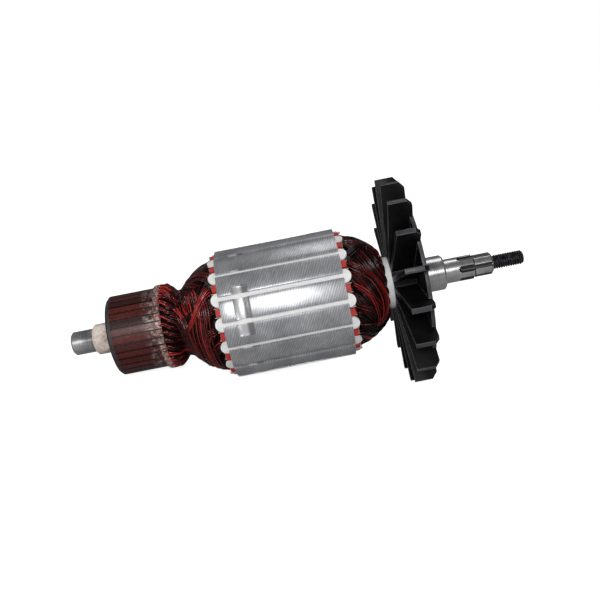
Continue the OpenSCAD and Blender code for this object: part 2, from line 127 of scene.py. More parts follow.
class Mat:
    """A node material that is built up by name."""

    def __init__(self, name):
        self.mat = bpy.data.materials.new(name)
        self.mat.use_nodes = True
        self.nt = self.mat.node_tree
        self.bsdf = self.nt.nodes["Principled BSDF"]

    def node(self, kind, inputs=None, **props):
        n = self.nt.nodes.new("ShaderNode" + kind)
        for key, value in props.items():
            setattr(n, key, value)
        for key, value in (inputs or {}).items():
            self.put(n.inputs[key], value)
        return n

    def put(self, socket, value):
        """Link a socket to another's output, or give it a value."""
        if isinstance(value, bpy.types.NodeSocket):
            self.nt.links.new(value, socket)
        else:
            socket.default_value = value

    def set(self, **values):
        """Set the surface's sockets and hand back the material."""
        names = {
            "color": "Base Color", "metal": "Metallic", "rough": "Roughness",
            "coat": "Coat Weight", "coat_rough": "Coat Roughness",
            "spec": "Specular IOR Level", "normal": "Normal",
        }
        for key, value in values.items():
            self.put(self.bsdf.inputs[names[key]], value)
        return self.mat

    def math(self, op, a, b=0.0, c=0.0):
        n = self.node("Math", operation=op)
        for socket, value in zip(n.inputs, (a, b, c)):
            self.put(socket, value)
        return n.outputs[0]

    def position(self):
        return self.node("TexCoord").outputs["Object"]

    def cylindrical(self):
        """Station in millimetres, angle in turns and radius in millimetres."""
        d = self.node("VectorMath", {0: self.position(), 1: tuple(ORIGIN)}, operation="SUBTRACT")
        along, up, near = [
            self.node("VectorMath", {0: d.outputs[0], 1: tuple(v)}, operation="DOT_PRODUCT").outputs["Value"]
            for v in (ALONG, UP, NEAR)
        ]
        s = self.math("MULTIPLY", along, 1000.0)
        turn = self.math("DIVIDE", self.math("ARCTAN2", near, up), 2 * math.pi)
        square = self.math("ADD", self.math("POWER", up, 2.0), self.math("POWER", near, 2.0))
        return s, turn, self.math("MULTIPLY", self.math("SQRT", square), 1000.0)

    def vector(self, x, y, z):
        return self.node("CombineXYZ", {0: x, 1: y, 2: z}).outputs[0]

    def noise(self, scale, detail=4.0, rough=0.55, vector=None, distortion=0.0):
        return self.node("TexNoise", {
            "Vector": vector or self.position(), "Scale": scale, "Detail": detail,
            "Roughness": rough, "Distortion": distortion}).outputs["Fac"]

    def ramp(self, fac, stops):
        """A colour for each value of fac, from stops of place and colour."""
        n = self.node("ValToRGB", {"Fac": fac})
        while len(n.color_ramp.elements) < len(stops):
            n.color_ramp.elements.new(0.5)
        for element, (position, color) in zip(n.color_ramp.elements, stops):
            element.position = position
            element.color = (*color, 1.0)
        return n.outputs["Color"]

    def grey(self, fac, lo, hi, a=0.0, b=1.0):
        """A value from a to b while fac goes from lo to hi, and no further."""
        n = self.node("MapRange", {"Value": fac, "From Min": lo, "From Max": hi, "To Min": a, "To Max": b})
        n.clamp = True
        return n.outputs[0]

    def mix(self, fac, a, b):
        n = self.node("Mix", data_type="RGBA")
        self.put(n.inputs[0], fac)
        for socket, value in ((n.inputs[6], a), (n.inputs[7], b)):
            self.put(socket, (*value, 1.0) if isinstance(value, tuple) else value)
        return n.outputs[2]

    def bump(self, height, strength, distance):
        n = self.node("Bump", {"Height": height, "Strength": strength, "Distance": distance})
        return n.outputs["Normal"]


# --- Materials ------------------------------------------------------------------------

# The hatch on the core: from line to line, and its run along the shaft over one turn
HATCH_PITCH, HATCH_LEAD = 1.05, 80.0


def wire_enamel(name, shine=0.25, lighter=0.0):
    """Red enamel, near black to bright red by each wire's tone, which is partly the wire's own and partly
    painted highlight and shade.
    """
    m = Mat(name)
    tone = m.node("Attribute", attribute_name="tone").outputs["Fac"]
    smear = m.noise(260.0, 3.0)
    mixed = m.math("ADD", m.math("MULTIPLY", tone, 0.8), m.math("MULTIPLY", smear, 0.2))
    # lighter lifts every tone of this copy of the enamel: painted light
    color = m.ramp(m.math("ADD", mixed, lighter), [
        (0.0, (0.001, 0.0006, 0.0006)), (0.35, (0.005, 0.001, 0.001)), (0.52, (0.045, 0.003, 0.003)),
        (0.75, (0.17, 0.009, 0.008)), (1.0, (0.50, 0.026, 0.022))])
    rough = m.grey(m.noise(900.0, 2.0), 0.3, 0.7, 0.14, 0.26)
    return m.set(color=color, rough=rough, coat=shine, coat_rough=0.05, spec=0.25,
                 normal=m.bump(m.noise(1500.0, 2.0), 0.12, 0.00005))


def wire_mass_shade(name):
    """The mass of wire in the depth of a winding, painted near black as shade."""
    m = Mat(name)
    grain = m.noise(1500.0, 3.0)
    color = m.ramp(grain, [(0.3, (0.002, 0.001, 0.001)), (0.75, (0.012, 0.003, 0.003))])
    return m.set(color=color, rough=m.grey(grain, 0.3, 0.7, 0.5, 0.7), spec=0.05,
                 normal=m.bump(grain, 0.5, 0.0003))


def core_steel():
    """Sheets turned to size: a slanted hatch with drag marks, and painted light and shade on the balance
    cut's walls.
    """
    m = Mat("core_steel")
    s, turn, r = m.cylindrical()
    cloud = m.noise(95.0, 5.0)
    slant = m.math("ADD", s, m.math("MULTIPLY", turn, HATCH_LEAD))
    slant = m.math("ADD", slant, m.math("MULTIPLY", cloud, 1.2))
    wave = m.math("SINE", m.math("MULTIPLY", slant, 2 * math.pi / HATCH_PITCH))
    hatch = m.math("MULTIPLY_ADD", wave, 0.5, 0.5)
    drag = m.noise(1.6, 4.0, 0.65, vector=m.vector(slant, m.math("MULTIPLY", turn, 30.0), 0.0))
    fine = m.noise(2200.0, 3.0)
    tone = m.math("ADD", m.math("MULTIPLY", cloud, 0.4),
                  m.math("ADD", m.math("MULTIPLY", hatch, 0.12), m.math("MULTIPLY", drag, 0.36)))
    color = m.ramp(tone, [
        (0.3, (0.28, 0.28, 0.30)), (0.45, (0.44, 0.445, 0.465)), (0.62, (0.70, 0.705, 0.73))])
    # the balance cut: painted light on its wall at the lower station, painted shade on the other wall
    band = m.math("MULTIPLY", m.grey(s, CUT_START - 0.2, CUT_START), m.grey(s, CUT_END + 0.2, CUT_END))
    below_rim = m.grey(r, CORE_R - 0.03, CORE_R - 0.15)
    floor_r = CORE_R - CUT_DEPTH
    cut = m.math("MULTIPLY", m.math("MULTIPLY", below_rim, band), m.grey(r, floor_r - 0.6, floor_r - 0.3))
    cut_wall_light_and_shade = m.ramp(m.grey(s, CUT_START, CUT_END), [
        (0.0, (0.52, 0.52, 0.53)), (0.2, (0.82, 0.82, 0.83)), (0.5, (0.72, 0.72, 0.73)),
        (0.68, (0.22, 0.22, 0.23)), (1.0, (0.30, 0.30, 0.31))])
    color = m.mix(m.math("MULTIPLY", cut, 0.85), color, cut_wall_light_and_shade)
    rough = m.grey(m.math("ADD", hatch, fine), 0.4, 1.6, 0.30, 0.44)
    height = m.math("ADD", m.math("MULTIPLY", hatch, 0.12), m.math("MULTIPLY", drag, 0.6))
    return m.set(color=color, metal=0.62, rough=rough, normal=m.bump(height, 0.12, 0.0001))


def shaft_steel():
    """Ground steel with fine rings, and painted shade that darkens the flutes with their depth."""
    m = Mat("ground_steel")
    s, turn, r = m.cylindrical()
    rings = m.noise(2.0, 4.0, 0.7, vector=m.vector(
        m.math("MULTIPLY", s, 3.0), m.math("MULTIPLY", turn, 0.8), 0.0))
    cloud = m.noise(150.0, 4.0)
    color = m.ramp(m.math("ADD", m.math("MULTIPLY", rings, 0.5), m.math("MULTIPLY", cloud, 0.5)), [
        (0.3, (0.30, 0.30, 0.305)), (0.5, (0.55, 0.55, 0.56)), (0.72, (0.82, 0.82, 0.83))])
    # depth below the seat, or below the pilot past the groove
    depth = m.math("SUBTRACT", m.grey(s, GROOVE_START, GROOVE_START + 0.1, PINION_R, PILOT_R), r)
    fluted = m.math("MULTIPLY", m.grey(s, FLUTE_RUN_IN - 0.7, FLUTE_RUN_IN - 0.2),
                    m.grey(s, PILOT_END - 0.3, PILOT_END - 0.6))
    # painted shade: the flutes grow near black towards their floor
    flute_painted_shade = m.math("MULTIPLY", m.grey(depth, 0.02, 0.2, 0.0, 0.93), fluted)
    color = m.mix(flute_painted_shade, color, (0.03, 0.03, 0.032))
    return m.set(color=color, metal=0.92, rough=m.grey(cloud, 0.3, 0.7, 0.20, 0.34),
                 normal=m.bump(rings, 0.05, 0.00003))


def thread_steel():
    """Blackened, oily steel of the threaded end."""
    m = Mat("oiled_thread_steel")
    cloud = m.noise(700.0, 4.0)
    color = m.ramp(cloud, [(0.3, (0.012, 0.012, 0.014)), (0.7, (0.10, 0.10, 0.11))])
    return m.set(color=color, metal=0.8, rough=m.grey(cloud, 0.3, 0.7, 0.25, 0.5),
                 normal=m.bump(cloud, 0.3, 0.0001))


def red_fibre():
    """Pressed red fibre of the end discs, with pale flecks."""
    m = Mat("red_fibre")
    fleck = m.noise(1400.0, 4.0, 0.65)
    color = m.ramp(fleck, [
        (0.25, (0.20, 0.012, 0.012)), (0.5, (0.52, 0.030, 0.028)), (0.8, (0.72, 0.11, 0.09))])
    return m.set(color=color, rough=m.grey(fleck, 0.3, 0.7, 0.5, 0.75), normal=m.bump(fleck, 0.5, 0.0002))


def white_strip(name, warm=0.0):
    """White insulating strip or ring, a little fibrous."""
    m = Mat(name)
    fibre = m.noise(1100.0, 4.0, 0.6)
    color = m.ramp(fibre, [
        (0.3, (0.80, 0.80 - warm, 0.79 - 2 * warm)), (0.7, (0.94, 0.94 - warm, 0.93 - 2 * warm))])
    return m.set(color=color, rough=m.grey(fibre, 0.3, 0.7, 0.45, 0.65), normal=m.bump(fibre, 0.35, 0.0001))


def sleeve_plastic():
    """Ivory moulding of the insulating tube, with stains and dark specks."""
    m = Mat("ivory_moulding")
    patch = m.noise(210.0, 5.0, 0.65, distortion=0.4)
    speck = m.noise(1500.0, 3.0)
    color = m.ramp(patch, [
        (0.28, (0.17, 0.13, 0.10)), (0.42, (0.56, 0.43, 0.36)), (0.55, (0.78, 0.68, 0.61)),
        (0.8, (0.90, 0.85, 0.80))])
    color = m.mix(m.grey(speck, 0.58, 0.7, 0.0, 0.5), color, (0.14, 0.11, 0.07))
    return m.set(color=color, rough=m.grey(patch, 0.3, 0.7, 0.35, 0.6), normal=m.bump(speck, 0.3, 0.0001))


def liner_paper():
    """Insulating paper of the slot liners."""
    m = Mat("slot_paper")
    fibre = m.noise(1300.0, 4.0)
    color = m.ramp(fibre, [(0.3, (0.30, 0.27, 0.22)), (0.7, (0.60, 0.56, 0.48))])
    return m.set(color=color, rough=0.75, normal=m.bump(fibre, 0.4, 0.0001))


def commutator_copper():
    """Bars under dark red lacquer, each of its own tone, with an ashy band, and hooks in copper tones with
    near-white painted glints.
    """
    m = Mat("commutator_copper")
    s, turn, _ = m.cylindrical()
    from_first = m.math("SUBTRACT", turn, (SLOT_TURN + BAR_TURN) / 360)
    index = m.math("FLOOR", m.math("ADD", m.math("MULTIPLY", from_first, float(BARS)), 0.5))
    bar = m.node("TexWhiteNoise", {"W": index}, noise_dimensions="1D").outputs["Value"]
    streak = m.noise(2.4, 4.0, 0.6, vector=m.vector(
        m.math("MULTIPLY", s, 0.35), m.math("MULTIPLY", turn, 110.0), 0.0))
    tone = m.math("ADD", m.math("MULTIPLY", bar, 0.35), m.math("MULTIPLY", streak, 0.65))
    lacquer = m.ramp(tone, [
        (0.25, (0.022, 0.004, 0.004)), (0.5, (0.085, 0.011, 0.009)), (0.75, (0.23, 0.035, 0.026))])
    grain = m.noise(1900.0, 3.0, 0.7)
    lacquer = m.mix(m.grey(grain, 0.42, 0.6, 0.0, 0.75), lacquer, (0.012, 0.004, 0.004))
    worn = m.noise(520.0, 4.0, 0.7)
    ash = m.mix(m.grey(worn, 0.4, 0.68), (0.05, 0.03, 0.03), (0.40, 0.32, 0.29))
    ash_band = m.math("MULTIPLY", m.grey(s, HOOK_START - 5.3, HOOK_START - 2.8),
                      m.grey(s, HOOK_START + 1.0, HOOK_START - 0.2))
    color = m.mix(m.math("MULTIPLY", ash_band, m.grey(worn, 0.42, 0.6)), lacquer, ash)
    # the hooks: copper tones, with near-white specks that are painted glints
    hook = m.ramp(m.noise(1100.0, 4.0, 0.7), [
        (0.36, (0.03, 0.012, 0.01)), (0.46, (0.28, 0.13, 0.11)), (0.54, (0.42, 0.29, 0.25)),
        (0.64, (0.74, 0.66, 0.62)), (0.7, (0.55, 0.30, 0.06))])
    color = m.mix(m.grey(s, HOOK_START - 0.2, HOOK_START + 0.6), color, hook)
    return m.set(color=color, metal=0.35, rough=m.grey(worn, 0.3, 0.7, 0.3, 0.55),
                 normal=m.bump(worn, 0.4, 0.00015), coat=0.25, coat_rough=0.2)


def moulding_black():
    """Dark moulding that holds the bars."""
    m = Mat("dark_phenolic")
    grain = m.noise(1200.0, 3.0)
    color = m.ramp(grain, [(0.3, (0.010, 0.009, 0.009)), (0.7, (0.055, 0.050, 0.050))])
    return m.set(color=color, rough=m.grey(grain, 0.3, 0.7, 0.4, 0.65), normal=m.bump(grain, 0.4, 0.0001))


def fan_nylon(name, low, high, rough, spec):
    """Moulded nylon between two greys."""
    m = Mat(name)
    cloud = m.noise(160.0, 5.0)
    fine = m.noise(3200.0, 2.0)
    color = m.ramp(cloud, [(0.3, (low, low, low * 1.1)), (0.7, (high, high, high * 1.1))])
    return m.set(color=color, rough=m.grey(fine, 0.3, 0.7, rough, rough + 0.14), spec=spec,
                 normal=m.bump(fine, 0.3, 0.00006))


# --- Mesh helpers ---------------------------------------------------------------------


def mesh_object(name, verts, faces, material, smooth=True):
    """An object at the origin, with its place in its mesh."""
    mesh = bpy.data.meshes.new(name)
    mesh.from_pydata([tuple(v) for v in verts], [], [tuple(f) for f in faces])
    mesh.update()
    mesh.materials.append(material)
    if smooth:
        mesh.polygons.foreach_set("use_smooth", [True] * len(mesh.polygons))
    ob = bpy.data.objects.new(name, mesh)
    SCENE.collection.objects.link(ob)
    return ob


def applied(ob):
    """The mesh that an object's modifiers make, put in place of its own."""
    graph = bpy.context.evaluated_depsgraph_get()
    mesh = bpy.data.meshes.new_from_object(ob.evaluated_get(graph))
    ob.modifiers.clear()
    ob.data = mesh
    return mesh


def weld(mesh, reach):
    """Merge points closer than reach, so that no face is left without area."""
    bm = bmesh.new()
    bm.from_mesh(mesh)
    bmesh.ops.remove_doubles(bm, verts=bm.verts, dist=reach * MM)
    bm.to_mesh(mesh)
    bm.free()


def softened(node, name, width, material, edge_material=None, reach=0.0):
    """A copy of a CAD node with its sharp edges rounded off, in a second material if given.

    Points closer than reach are merged afterwards.
    """
    mesh = frame["nodes"][node].data.copy()
    bm = bmesh.new()
    bm.from_mesh(mesh)
    bmesh.ops.remove_doubles(bm, verts=bm.verts, dist=0.002 * MM)
    bmesh.ops.dissolve_limit(bm, angle_limit=math.radians(0.6), verts=bm.verts, edges=bm.edges)
    bm.to_mesh(mesh)
    bm.free()
    mesh.materials.clear()
    mesh.materials.append(material)
    if edge_material:
        mesh.materials.append(edge_material)
    ob = bpy.data.objects.new(name, mesh)
    SCENE.collection.objects.link(ob)
    bevel = ob.modifiers.new("edges", "BEVEL")
    bevel.material = 1 if edge_material else -1
    bevel.width = width * MM
    bevel.segments = 2
    bevel.limit_method = "ANGLE"
    bevel.angle_limit = math.radians(30)
    mesh = applied(ob)
    if reach:
        weld(mesh, reach)
    mesh.polygons.foreach_set("use_smooth", [True] * len(mesh.polygons))
    mesh.set_sharp_from_angle(angle=math.radians(35))
    return ob


def lathe_faces(rows, cols):
    """Faces of a closed tube of points, with a cap at each end."""
    faces = [(i * cols + j, i * cols + (j + 1) % cols, (i + 1) * cols + (j + 1) % cols, (i + 1) * cols + j)
             for i in range(rows - 1) for j in range(cols)]
    faces.append(tuple(reversed(range(cols))))
    faces.append(tuple((rows - 1) * cols + j for j in range(cols)))
    return faces


def ring_faces(rows, cols, start=0):
    """Faces of a closed band whose last row meets its first."""
    return [
        (start + i * cols + j, start + (i + 1) % rows * cols + j,
         start + (i + 1) % rows * cols + (j + 1) % cols, start + i * cols + (j + 1) % cols)
        for i in range(rows) for j in range(cols)]


def round_wires():
    """Geometry nodes that turn polylines into round wires of a material."""
    group = bpy.data.node_groups.new("round_wires", "GeometryNodeTree")
    face = group.interface
    inputs = {"Geometry": "Geometry", "Wire radius": "Float", "Sides": "Int", "Enamel": "Material"}
    for name, kind in inputs.items():
        face.new_socket(name, in_out="INPUT", socket_type="NodeSocket" + kind)
    face.new_socket("Geometry", in_out="OUTPUT", socket_type="NodeSocketGeometry")
    nodes, links = group.nodes, group.links
    into, out = nodes.new("NodeGroupInput"), nodes.new("NodeGroupOutput")
    curve = nodes.new("GeometryNodeMeshToCurve")
    circle = nodes.new("GeometryNodeCurvePrimitiveCircle")
    sweep = nodes.new("GeometryNodeCurveToMesh")
    sweep.inputs["Fill Caps"].default_value = True
    smooth = nodes.new("GeometryNodeSetShadeSmooth")
    real = nodes.new("GeometryNodeRealizeInstances")
    enamel = nodes.new("GeometryNodeSetMaterial")
    links.new(into.outputs["Geometry"], curve.inputs[0])
    links.new(into.outputs["Wire radius"], circle.inputs["Radius"])
    links.new(into.outputs["Sides"], circle.inputs["Resolution"])
    links.new(curve.outputs[0], sweep.inputs["Curve"])
    links.new(circle.outputs[0], sweep.inputs["Profile Curve"])
    links.new(sweep.outputs[0], smooth.inputs["Geometry"])
    links.new(smooth.outputs[0], real.inputs[0])
    links.new(real.outputs[0], enamel.inputs["Geometry"])
    links.new(into.outputs["Enamel"], enamel.inputs["Material"])
    links.new(enamel.outputs[0], out.inputs[0])
    return group


WIRE_GROUP = round_wires()


def wires(name, paths, tones, radius, material, sides=6):
    """Round wires along paths, each an array of points, with a tone for each point."""
    verts, edges = [], []
    for path in paths:
        base = len(verts)
        verts.extend(tuple(p) for p in path)
        edges.extend((base + i, base + i + 1) for i in range(len(path) - 1))
    mesh = bpy.data.meshes.new(name)
    mesh.from_pydata(verts, edges, [])
    attribute = mesh.attributes.new("tone", "FLOAT", "POINT")
    attribute.data.foreach_set("value", np.concatenate(tones).astype(np.float32))
    ob = bpy.data.objects.new(name, mesh)
    SCENE.collection.objects.link(ob)
    sweep = ob.modifiers.new("wires", "NODES")
    sweep.node_group = WIRE_GROUP
    keys = {i.name: i.identifier for i in WIRE_GROUP.interface.items_tree if i.in_out == "INPUT"}
    sweep[keys["Wire radius"]] = radius * MM
    sweep[keys["Sides"]] = sides
    sweep[keys["Enamel"]] = material
    applied(ob)
    return ob


def place(ob, slot, *nodes):
    """Fix a piece to the part, and hide the CAD nodes that it stands for. The finish that slot names is not
    used.
    """
    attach(ob, "root")
    if nodes:
        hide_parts(*nodes)


def paint(node, material):
    """Give a CAD node that stays its own material."""
    mesh = frame["nodes"][node].data
    mesh.materials.clear()
    mesh.materials.append(material)


def mix(a, b, t):
    return a * (1 - t) + b * t


def sway_tone(rng, swing, least, most, count):
    """A slow change of tone along a wire, painted glints and shade, over an angle between least and most
    radians.
    """
    return swing * np.sin(np.linspace(0, rng.uniform(least, most), count) + rng.uniform(0, 6))


# --- The end windings' surfaces -------------------------------------------------------

# Radii of a coil's outside, of the surface between its two layers and of its inside: in
# the slots, and at the noses of the end windings
LEG_TOP, LEG_MID, LEG_FLOOR = 23.9, 18.9, 14.16
NOSE_TOP, NOSE_FLOOR = 14.0, 8.2
NOSE_MID = (NOSE_TOP + NOSE_FLOOR) / 2
# The share of the way from slot to nose that each has come over the winding's height
OUTER_SHAPE = ([0, 0.18, 0.4, 0.6, 0.8, 1], [0, 0.05, 0.14, 0.33, 0.6, 1])
MIDDLE_SHAPE = ([0, 0.15, 0.45, 0.8, 1], [0, 0, 0.32, 0.7, 1])
INNER_SHAPE = ([0, 0.15, 0.45, 0.8, 1], [0, 0, 0.63, 0.9, 1])
LAYER_GAP, COIL_GAP_A = 0.5, 2.2
HEIGHT = {1: FAN_END_H, -1: LEAD_END_H}
# Angles: half of a coil's span, and half of its width at the slot, on the climb, before
# the nose and on it
HALF_SPAN = COIL_PITCH * SLOT_STEP / 2
ROOT_A, FULL_A, NOTCH_A, NOSE_A = 7.2, SLOT_STEP / 2 - COIL_GAP_A / 2, 6.5, 5.3
SPREAD_A, GATHER_A = 8, 30
CLIMB_STEPS, FLAT_STEPS = 8, 2
# Heights over the core's end: the end of a straight leg, and the start of the climb
LEG_END, CLIMB_START = 2.65, 3.25
# Where a wire starts in its slot, and the share of the root's width that the wires fill
SLOT_DEPTH, ROOT_FILL = 0.6, 0.62


def outer_r(t):
    return mix(LEG_TOP, NOSE_TOP, np.interp(t, *OUTER_SHAPE))


def middle_r(t):
    return mix(LEG_MID, NOSE_MID, np.interp(t, *MIDDLE_SHAPE))


def inner_r(t):
    return mix(LEG_FLOOR, NOSE_FLOOR, np.interp(t, *INNER_SHAPE))


def climb_half_a(c):
    """Half of a coil's width, c degrees along its climb."""
    return np.interp(c, [0, SPREAD_A, HALF_SPAN - GATHER_A, HALF_SPAN - NOTCH_A, HALF_SPAN],
                     [ROOT_A, FULL_A, FULL_A, NOTCH_A, NOSE_A])


def climb(c, h):
    """Height of a coil's middle line, c degrees along its climb to the height h."""
    x = np.clip(c / HALF_SPAN, 0, 1)
    return CLIMB_START + (h - CLIMB_START) * (0.22 * np.sqrt(x) + 0.5 * x + 0.28 * np.sin(x * math.pi / 2))


def band_r(a, s, h, f):
    """Radius in a coil, from its inside (f = 0) to its outside (f = 1)."""
    reach = SLOT_STEP / 2 - NOSE_A
    t = np.clip((a - HALF_SPAN + reach) / (2 * reach), 0, 1)
    top = mix(outer_r(s / h), middle_r(s / h) - LAYER_GAP / 2, t)
    bottom = mix(middle_r(s / h) + LAYER_GAP / 2, inner_r(s / h), t)
    return mix(bottom, top, f)


def band_path(u, f, side, steps, sink=0.0, wander=None):
    """A wire's way over one coil's end winding, from slot to slot: radius, angle, station.

    u goes across the coil's width and f through its depth, from 0 to 1. A wander is a
    swing, its turns and its start, first for the angle and then for the height.
    """
    h = HEIGHT[side]
    i = np.linspace(0, CLIMB_STEPS, steps)
    c_in = (HALF_SPAN - NOTCH_A) * i / CLIMB_STEPS
    c_out = HALF_SPAN * np.minimum(1, i / (CLIMB_STEPS - FLAT_STEPS))
    flat = np.maximum(0, i - (CLIMB_STEPS - FLAT_STEPS)) / FLAT_STEPS
    up_a = mix(c_in + climb_half_a(c_in), c_out - climb_half_a(c_out) * (1 - flat), u)
    up_s = mix(climb(c_in, h), climb(c_out, h), u)
    a = np.concatenate([up_a, 2 * HALF_SPAN - up_a[::-1][1:]])
    s = np.concatenate([up_s, up_s[::-1][1:]])
    if wander is not None:
        way = np.linspace(0, 1, len(a))
        swell = np.sin(math.pi * way)
        a = a + wander[0] * swell * np.sin(2 * math.pi * (wander[1] * way + wander[2]))
        rise = wander[3] * swell * np.sin(2 * math.pi * (wander[4] * way + wander[5]))
        s = np.clip(s + rise, CLIMB_START, h)
    r = band_r(a, s, h, f) - sink
    # both ends go down into the slots, one in the outer layer and one in the inner
    root_a = mix(ROOT_A * ROOT_FILL, -ROOT_A * ROOT_FILL, u)
    outer_leg = mix(LEG_MID + LAYER_GAP / 2, LEG_TOP, f) - sink
    inner_leg = mix(LEG_FLOOR, LEG_MID - LAYER_GAP / 2, f) - sink
    a = np.concatenate([[root_a, root_a], a, [2 * HALF_SPAN - root_a] * 2])
    s = np.concatenate([[SLOT_DEPTH, LEG_END], s, [LEG_END, SLOT_DEPTH]])
    r = np.concatenate([[outer_leg, outer_leg], r, [inner_leg, inner_leg]])
    for _ in range(2):
        for values in (a, s, r):
            values[2:-2] = 0.25 * values[1:-3] + 0.5 * values[2:-2] + 0.25 * values[3:-1]
    return r, a, side * (CORE_END + s)


# --- Windings and leads ---------------------------------------------------------------

END_WIRE_R, LEAD_WIRE_R, CROSSING_WIRE_R = 0.34, 0.32, 0.29
# Corners of the filling's section, across and through a coil
FILLING_OUTLINE = [
    (0.03, 0.86), (0.5, 0.86), (0.97, 0.86), (0.97, 0.45),
    (0.97, 0.06), (0.5, 0.06), (0.03, 0.06), (0.03, 0.45)]


def coil_filling(material):
    """The mass of wire under the strands of all coils, dark with painted shade."""
    verts, faces = [], []
    for coil in range(SLOTS):
        rings = []
        for side in (1, -1):
            r, a, s = np.array([band_path(u, f, side, 16) for u, f in FILLING_OUTLINE]).transpose(1, 2, 0)
            rings += list(zip(r, a, s))[::side]
        start = len(verts)
        for r, a, s in rings:
            verts.extend(points(r, a + SLOT_TURN + coil * SLOT_STEP, s))
        faces += ring_faces(len(rings), len(FILLING_OUTLINE), start)
    return mesh_object("coil_filling", verts, faces, material)


def end_wires(name, side, material, seed):
    """All strands of one end winding: eleven over each coil, four and two on its sides."""
    rng = np.random.default_rng(seed)
    spots = [(u, 1.0) for u in np.linspace(0.04, 0.96, 11)]
    spots += [(1.0, f) for f in (0.78, 0.55, 0.32, 0.1)] + [(0.0, f) for f in (0.7, 0.35)]
    paths, tones = [], []
    for coil in range(SLOTS):
        coil_tone = rng.uniform(-0.12, 0.12)
        for u, f in spots:
            wander = (rng.uniform(0.3, 1.5), rng.uniform(0.5, 2.2), rng.uniform(0, 1),
                      rng.uniform(0.05, 0.3), rng.uniform(0.5, 1.6), rng.uniform(0, 1))
            sink = END_WIRE_R * 0.8 + rng.uniform(-0.15, 0.5)
            r, a, s = band_path(u, f, side, 20, sink, wander)
            paths.append(points(r, a + SLOT_TURN + coil * SLOT_STEP, s))
            # tone: the wire's own at random by wire and coil, with painted glints and shade swaying along it
            sway = sway_tone(rng, 0.16, 5, 14, len(a))
            tones.append(np.clip(rng.normal(0.27, 0.2) + coil_tone + sway, 0.02, 0.98))
    return wires(name, paths, tones, END_WIRE_R, material, 5)


def smooth_path(knots, count):
    """A smooth curve through knots (rows), by a cubic through neighbours."""
    k = np.asarray(knots, float)
    k = np.vstack([2 * k[0] - k[1], k, 2 * k[-1] - k[-2]])
    out = []
    for t in np.linspace(0, len(k) - 3 - 1e-9, count):
        i = int(t)
        f = t - i
        p0, p1, p2, p3 = k[i:i + 4]
        out.append(0.5 * (2 * p1 + (p2 - p0) * f + (2 * p0 - 5 * p1 + 4 * p2 - p3) * f * f
                          + (3 * p1 - p0 - 3 * p2 + p3) * f ** 3))
    return np.array(out)


def lead_wires(material):
    """Wires from the hooks down into the end winding, four to a hook."""
    rng = np.random.default_rng(41)
    paths, tones = [], []
    r0, r1, d, l, s0 = COMMUTATOR_R, NOSE_TOP, LEAD_D, LEAD_SPACE, HOOK_END
    count = 30
    way = np.linspace(0, 1, count)
    # distance of a wire from the lead's middle line, and its change of tone: painted light near the hook,
    # painted shade where it goes into the end winding
    apart = np.interp(way, [0, 0.2, 0.6, 1], [0.55, 0.6, 0.6, 0.35])
    painted_light_fade = np.interp(way, [0, 0.25, 0.5, 1], [0.2, 0.15, -0.1, -0.25])
    for bar in range(BARS):
        for k in range(4):
            turn = 90 * k + rng.uniform(-30, 30)
            spread = rng.uniform(-1.7, 1.7)
            # radius, station and angle from the hook
            knots = [
                (r0 + 0.25, s0 - 1.6, 0.0),
                (r0 + 0.19, s0 + 0.1, 0.2),
                (r0 + 0.1, s0 + 0.17 * l, 1.5),
                (r0 + rng.uniform(-0.4, 0.1), s0 + 0.33 * l, 4 + spread * 0.6),
                (r0 - 0.85 * d, s0 + 0.55 * l, 8 + spread),
                (r1 - 0.3 * d, s0 + 0.76 * l, 13 + spread * 1.5),
                (r1 - 0.2 * d, s0 + 0.97 * l, 18 + 2 * spread),
                (r1 + 0.7, s0 + l + 1.6, 23 + 3 * spread),
                (r1 + 1.8, s0 + l + 3.2, 29 + 4 * spread)]
            r, s, a = smooth_path(knots, count).T
            twist = np.radians(turn + 200 * way)
            a = a + np.degrees(apart * np.sin(twist) / r) + SLOT_TURN + BAR_TURN + bar * BAR_STEP
            paths.append(points(r + apart * np.cos(twist), a, s))
            tones.append(np.clip(rng.normal(0.6, 0.24) + painted_light_fade, 0.03, 1.0))
    return wires("lead_wires", paths, tones, LEAD_WIRE_R, material)


def lead_filling(material):
    """The mass under the leads, between the hooks and the end winding, dark with painted shade."""
    r0, r1, d, l = COMMUTATOR_R, NOSE_TOP, LEAD_D, LEAD_SPACE
    # radius and distance from the hooks: over the top, then back underneath
    route = [
        (r0 - 3.2, 0.06), (r0 - 0.9, 0.08), (r0 - 0.75, 0.17 * l), (r0 - 1.1, 0.33 * l),
        (r0 - 0.85 * d - 0.7, 0.55 * l), (r1 - 0.3 * d - 0.6, 0.76 * l), (r1 - 0.5 * d - 0.5, 0.97 * l),
        (r1 - 3.6, 0.99 * l), (r1 - 5.2, 0.5 * l)]
    on_top = range(1, 7)
    cols = 4 * BARS
    angle = np.arange(cols) * 360 / cols
    verts = []
    for k, (r, s) in enumerate(route):
        ripple = 0.35 * np.cos(np.radians(BARS * (angle - SLOT_TURN - BAR_TURN - 1.6 * s))) * (k in on_top)
        verts.extend(points(r + ripple, angle, HOOK_END + s))
    faces = [(a, d, c, b) for a, b, c, d in ring_faces(len(route), cols)]
    return mesh_object("lead_filling", verts, faces, material)
